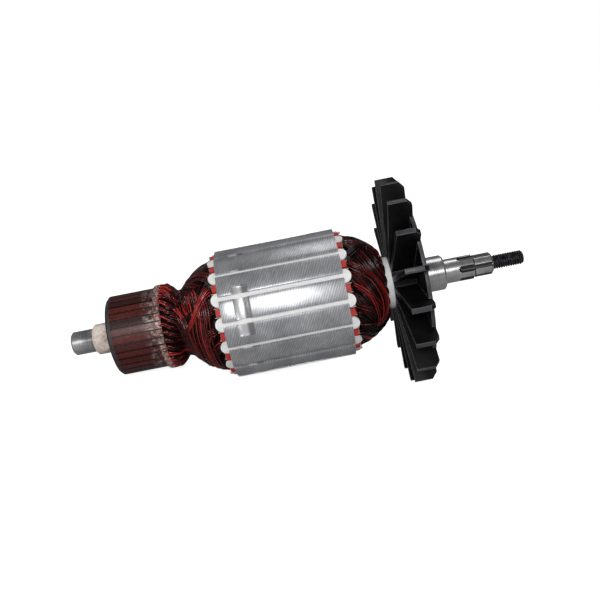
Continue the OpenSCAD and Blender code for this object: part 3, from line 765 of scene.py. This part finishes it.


# Bundles that lie over the others: strands, gap between them, tone (high where a bundle shines: partly
# painted highlight), lift, and their way over the winding from knot to knot, as angle and station
BUNDLES = [
    (5, 0.75, 0.50, 0.2, [(49, -48), (55, -44), (76, -42), (101, -41), (129, -39), (142, -38)]),
    (4, 0.75, 0.46, 0.5, [(62, -47.5), (70, -44), (88, -42.5), (113, -41), (141, -38)]),
    (9, 0.72, 0.66, 0.5, [(57, -35.5), (64, -33.5), (97, -34.5), (131, -33), (146, -31.5)]),
    (3, 0.8, 0.78, 0.7, [(48.5, -27.5), (55, -31.5), (71, -36.5), (85, -40)]),
    (3, 0.8, 0.70, 0.9, [(44.5, -28.5), (53, -32), (74, -37.5), (86, -40.5)]),
    (4, 0.75, 0.60, 0.3, [(67, -27.5), (70, -30.5), (78, -33), (98, -34.5)]),
    (4, 0.75, 0.55, 0.3, [(88, -28.5), (91, -32), (102, -33.5), (113, -34)]),
    (7, 0.85, 0.45, 0.4, [(17, -37.5), (23, -33), (33, -28)]),
    (11, 0.95, 0.92, 0.7, [(42, -40.5), (57, -39.5), (66, -39)]),
    (7, 0.85, 0.38, 0.4, [(29, -45.5), (23, -43.5), (19, -41), (32, -37.5), (47, -31.5)]),
    (4, 0.72, 0.70, 0.4, [
        (43.5, 26), (54, 31.5), (64, 36.5), (80, 39.5), (96, 40.5), (114, 40), (124, 38), (136, 31.5)]),
    (2, 0.8, 0.66, 0.4, [(67, 27.5), (74, 31.5), (84, 34.5), (98, 36), (116, 36.5), (134, 35)]),
    (2, 0.8, 0.62, 0.3, [(72, 29), (78, 33), (88, 36)]),
    (3, 0.8, 0.45, 0.2, [(88, 28), (95, 32.5), (102, 35)]),
    (1, 0.8, 0.50, 0.3, [(110, 28), (115, 33), (121, 35.5)]),
    (4, 0.8, 0.46, 0.1, [(15, 27.5), (16, 32), (18, 36), (24, 39.5)]),
    (4, 0.8, 0.36, 0.3, [(41, 27), (26, 33), (12, 39)]),
]
# The leads' outside: radius at shares of the space between hooks and end winding
LEAD_COVER = ([0.17, 0.33, 0.55, 0.76, 0.97], [17.9, 17.6, 16.2, 14.4, 14.1])


def cover_r(s):
    """Radius over the windings and the leads at station s."""
    height = np.where(s > 0, FAN_END_H, LEAD_END_H)
    wound = outer_r(np.clip((np.abs(s) - CORE_END) / height, 0, 1))
    leads = np.interp((s - HOOK_END) / LEAD_SPACE, *LEAD_COVER)
    return np.where(s < -(CORE_END + LEAD_END_H), leads, wound)


def crossing_wires(material):
    """Loose bundles over the end windings, on the near side and again half a turn on.

    The wires of a bundle are parted sideways on the surface that they lie on.
    """
    rng = np.random.default_rng(77)
    count = 26
    # the near end of a bundle sinks a little, and its far end dives under the others
    dip = (2.4 * np.clip(np.linspace(-5, 1, count), 0, 1) ** 1.5
           + 1.2 * np.clip(np.linspace(1, -9, count), 0, 1))
    paths, tones = [], []
    for turn in (0.0, 180.0):
        for strands, gap, tone, lift, knots in BUNDLES:
            way_a, way_s = smooth_path(knots, count).T
            cover = cover_r(way_s)
            run_a = np.radians(np.gradient(way_a)) * cover
            run_s = np.hypot(np.gradient(way_s), np.gradient(cover))
            length = np.hypot(run_a, run_s)
            slope = np.sign(np.gradient(way_s)) * run_s
            for k in range(strands):
                off = (k - (strands - 1) / 2) * gap + rng.uniform(-0.12, 0.12)
                off = off * (1 + 0.25 * np.sin(np.linspace(0, 3, count) + rng.uniform(0, 3)))
                a = way_a + np.degrees(-slope / length * off / cover)
                s = way_s + run_a / length * off
                r = cover_r(s) + lift + 0.1 + rng.uniform(-0.1, 0.15) - dip
                # tone: the bundle's, partly painted highlight, with painted glints and shade swaying along
                # each wire
                sway = sway_tone(rng, 0.12, 4, 12, count)
                keep = slice(int(rng.integers(0, 2)), count - int(rng.integers(0, 4)))
                paths.append(points(r, a + turn, s)[keep])
                tones.append(np.clip(tone + rng.normal(0, 0.12) + sway, 0.03, 1.0)[keep])
    return wires("crossing_wires", paths, tones, CROSSING_WIRE_R, material)


# --- The shaft and its threaded end ---------------------------------------------------

THREAD_START = PILOT_END + NECK_L / 2
THREAD_R, THREAD_ROOT_R, PITCH = 3.0, 2.5, 1.0
UNDER_THREAD_R = THREAD_ROOT_R - 0.1
# Radius and station of each corner
SHAFT_CORNERS = [
    (0.0, JOURNAL_START),
    (JOURNAL_R - CHAMFER, JOURNAL_START),
    (JOURNAL_R, JOURNAL_START + CHAMFER),
    (JOURNAL_R, JOURNAL_END - EDGE),
    (JOURNAL_R - EDGE, JOURNAL_END),
    (JOURNAL_R - RELIEF / 2, JOURNAL_END),
    (JOURNAL_R - RELIEF / 2, TUBE_START),
    (CORE_SHAFT_R, TUBE_START),
    (CORE_SHAFT_R, FAN_START),
    (FAN_SEAT_R, FAN_START),
    (FAN_SEAT_R, FAN_END),
    (BEARING_R - EDGE, FAN_END),
    (BEARING_R, FAN_END + EDGE),
    (BEARING_R, BEARING_END - CHAMFER),
    (BEARING_R - CHAMFER, BEARING_END),
    (PINION_R, BEARING_END),
    (PINION_R, GROOVE_START),
    (PILOT_R - GROOVE_L / 2, GROOVE_START),
    (PILOT_R - GROOVE_L / 2, GROOVE_END),
    (PILOT_R, GROOVE_END),
    (PILOT_R, PILOT_END - CHAMFER),
    (PILOT_R - CHAMFER, PILOT_END),
    (UNDER_THREAD_R, PILOT_END),
    (UNDER_THREAD_R, SHAFT_END - 0.1),
    (0.0, SHAFT_END - 0.1)]


def flute_floor(angle, s):
    """Radius left by the flutes' round cutter, which ran in with a round end."""
    step = 360 / FLUTES
    off = np.radians((angle - LAND_TURN) % step - step / 2)
    centre = PINION_R - FLUTE_DEPTH + FLUTE_R
    run = math.sqrt(max(0.0, FLUTE_R ** 2 - max(0.0, FLUTE_START - s) ** 2))
    inside = run ** 2 - (centre * np.sin(off)) ** 2
    return np.where(inside > 0, centre * np.cos(off) - np.sqrt(np.maximum(inside, 0)), BEARING_R)


def shaft_body(material):
    """The shaft as a fine turned surface, with its flutes cut in."""
    rows = [SHAFT_CORNERS[0]]
    for (r0, s0), (r1, s1) in zip(SHAFT_CORNERS, SHAFT_CORNERS[1:]):
        fluted = s1 > FLUTE_RUN_IN and s0 < PILOT_END and r0 > UNDER_THREAD_R
        steps = max(1, int((s1 - s0) / (0.2 if fluted else 12.0)))
        rows += [(mix(r0, r1, k / steps), mix(s0, s1, k / steps)) for k in range(1, steps + 1)]
    rows = rows[1:-1]
    cols = 180
    angle = np.arange(cols) * 360 / cols
    verts = []
    for r, s in rows:
        cut = flute_floor(angle, s) if FLUTE_RUN_IN < s <= PILOT_END else r
        verts.extend(points(np.minimum(r, cut), angle, s))
    ob = mesh_object("shaft_body", verts, lathe_faces(len(rows), cols), material)
    weld(ob.data, 0.002)
    ob.data.set_sharp_from_angle(angle=math.radians(28))
    return ob


def shaft_thread(material):
    """The thread, with a blunt crest, running out at the neck and at the tip's chamfer."""
    rows = round((SHAFT_END - THREAD_START) / PITCH * 8) + 1
    cols = 56
    along = np.linspace(THREAD_START, SHAFT_END, rows)
    s, a = np.meshgrid(along, np.arange(cols) * 360 / cols, indexing="ij")
    phase = (s / PITCH - a / 360) % 1.0
    ridge = 1 - np.abs(2 * phase - 1)
    r = THREAD_ROOT_R + (THREAD_R - THREAD_ROOT_R) * np.clip(1.35 * ridge - 0.1, 0, 1)
    r = np.minimum(r, THREAD_R - np.clip(s - (SHAFT_END - CHAMFER), 0, 1))
    r = np.minimum(r, THREAD_ROOT_R + 0.1 + np.clip(s - THREAD_START - 0.2, 0, 2))
    ob = mesh_object("shaft_thread", points(r, a, s), lathe_faces(rows, cols), material)
    ob.data.set_sharp_from_angle(angle=math.radians(40))
    return ob


# --- The fan --------------------------------------------------------------------------


def fan_body():
    """The fan with painted highlights on its bevelled edges, and its blade tips and plate rim painted greyer
    as lit faces.
    """
    nylon = fan_nylon("black_nylon", 0.001, 0.006, 0.34, 0.16)
    # the bevels' material is a painted highlight
    edge_highlight = fan_nylon("edge_highlight_nylon", 0.12, 0.32, 0.3, 0.5)
    ob = softened("fan", "fan_body", 0.4, nylon, edge_highlight, 0.002)
    ob.data.materials.append(fan_nylon("tip_and_rim_highlight_nylon", 0.025, 0.065, 0.34, 0.4))
    # outward faces of blade tips and plate rim: a greyer nylon as painted light
    for face in ob.data.polygons:
        r, a = radius_and_angle(face.center)
        outward = math.cos(math.radians(a)) * UP + math.sin(math.radians(a)) * NEAR
        if face.material_index == 0 and r > PLATE_R - 0.5 and outward.dot(face.normal) > 0.7:
            face.material_index = 2
    return ob


# --- Pieces ---------------------------------------------------------------------------

enamel = wire_enamel("wire_enamel")
coils = ["coil_%d" % (i + 1) for i in range(SLOTS)]
place(coil_filling(wire_mass_shade("coil_filling")), "enamelled_wire", *coils)
place(end_wires("fan_end_wires", 1, enamel, 11), "enamelled_wire")
place(end_wires("lead_end_wires", -1, enamel, 12), "enamelled_wire")
place(lead_wires(wire_enamel("lead_enamel", 0.5, 0.04)), "enamelled_wire", "coil_leads")
place(lead_filling(wire_mass_shade("lead_filling")), "enamelled_wire")
place(crossing_wires(wire_enamel("crossing_enamel", 0.5, 0.04)), "enamelled_wire")
place(shaft_body(shaft_steel()), "ground_steel", "shaft")
place(shaft_thread(thread_steel()), "ground_steel")
place(fan_body(), "black_nylon", "fan")
place(softened("lamination_stack", "core_body", 0.14, core_steel()), "core_steel", "lamination_stack")

paint("insulating_tube", sleeve_plastic())
paint("commutator_moulding", moulding_black())
paint("commutator_bars", commutator_copper())
paint("fan_spacer", white_strip("spacer_white", -0.005))
fibre = red_fibre()
for node in ("lead_end_disc", "fan_end_disc"):
    paint(node, fibre)
paper = liner_paper()
white = white_strip("white_insulation")
for i in range(SLOTS):
    paint("slot_liner_%d" % (i + 1), paper)
    paint("slot_wedge_%d" % (i + 1), white)

# --- Studio ---------------------------------------------------------------------------


def area_lamp(name, where, target, size, power):
    data = bpy.data.lights.new(name, "AREA")
    data.shape = "RECTANGLE"
    data.size, data.size_y = size
    data.energy = power
    ob = bpy.data.objects.new(name, data)
    ob.location = where
    ob.rotation_euler = (Vector(target) - Vector(where)).to_track_quat("-Z", "Y").to_euler()
    SCENE.collection.objects.link(ob)


def studio_floor():
    """A pale floor that the camera sees white, and that throws less light back on the part."""
    m = Mat("pale_floor")
    color = m.ramp(m.noise(60.0, 3.0), [(0.3, (0.78, 0.78, 0.78)), (0.7, (0.82, 0.82, 0.82))])
    seen = m.node("LightPath").outputs["Is Camera Ray"]
    m.set(color=m.mix(seen, (0.42, 0.42, 0.42), color), rough=0.9)
    m.put(m.bsdf.inputs["Emission Color"], color)
    m.put(m.bsdf.inputs["Emission Strength"], m.math("MULTIPLY", seen, 1.06))
    half = 3.0
    verts = [(-half, -half, 0), (half, -half, 0), (half, half, 0), (-half, half, 0)]
    return mesh_object("floor", verts, [(0, 1, 2, 3)], m.mat, smooth=False)


def studio_world():
    """White where the camera sees it, dim in reflections, and soft light for the rest."""
    world = bpy.data.worlds.new("studio")
    SCENE.world = world
    world.use_nodes = True
    nodes, links = world.node_tree.nodes, world.node_tree.links
    nodes.clear()
    shades = {}
    for name, level in {"seen": 1.0, "mirrored": 0.13, "lit": 0.25}.items():
        shade = nodes.new("ShaderNodeBackground")
        shade.inputs["Color"].default_value = (1, 1, 1, 1)
        shade.inputs["Strength"].default_value = level
        shades[name] = shade.outputs[0]
    path = nodes.new("ShaderNodeLightPath")
    out = nodes.new("ShaderNodeOutputWorld")

    def choose(ray, otherwise, then):
        blend = nodes.new("ShaderNodeMixShader")
        for socket, source in zip(blend.inputs, (path.outputs[ray], otherwise, then)):
            links.new(source, socket)
        return blend.outputs[0]

    unseen = choose("Is Glossy Ray", shades["lit"], shades["mirrored"])
    links.new(choose("Is Camera Ray", unseen, shades["seen"]), out.inputs[0])


def camera():
    """Set nearly square on to the shaft and above it, rolled so that the shaft rises to the right."""
    lift, yaw, roll = math.radians(16.4), -0.010, -0.193
    aim_station, distance = 9.4, 317.5
    back = math.cos(lift) * NEAR + math.sin(lift) * UP
    side = math.cos(yaw) * ALONG + math.sin(yaw) * back
    forward = math.sin(yaw) * ALONG - math.cos(yaw) * back
    up = side.cross(forward)
    right = math.cos(roll) * side + math.sin(roll) * up
    over = -math.sin(roll) * side + math.cos(roll) * up
    pose = Matrix.Identity(4)
    for k, axis in enumerate((right, over, -forward)):
        pose.col[k].xyz = axis
    pose.translation = ORIGIN + (aim_station * ALONG + distance * back) * MM
    data = bpy.data.cameras.new("camera")
    data.sensor_width = 36.0
    data.lens = 44.802
    data.clip_start = 0.01
    ob = bpy.data.objects.new("camera", data)
    ob.matrix_world = pose
    SCENE.collection.objects.link(ob)
    SCENE.camera = ob


studio_floor()
studio_world()
# where, target, size in metres, and power in watts
area_lamp("key", (-0.12, -0.80, 0.40), (-0.01, 0, 0.03), (0.40, 0.22), 4.0)
area_lamp("overhead", (0.05, 0.30, 0.86), (0, 0, 0.03), (0.42, 0.3), 0.9)
area_lamp("left", (-0.85, -0.55, 0.2), (0, 0, 0.03), (0.2, 0.3), 1.2)
area_lamp("right", (0.75, -0.65, 0.16), (0, 0, 0.04), (0.2, 0.25), 1.2)
camera()
SCENE.view_settings.view_transform = "Standard"
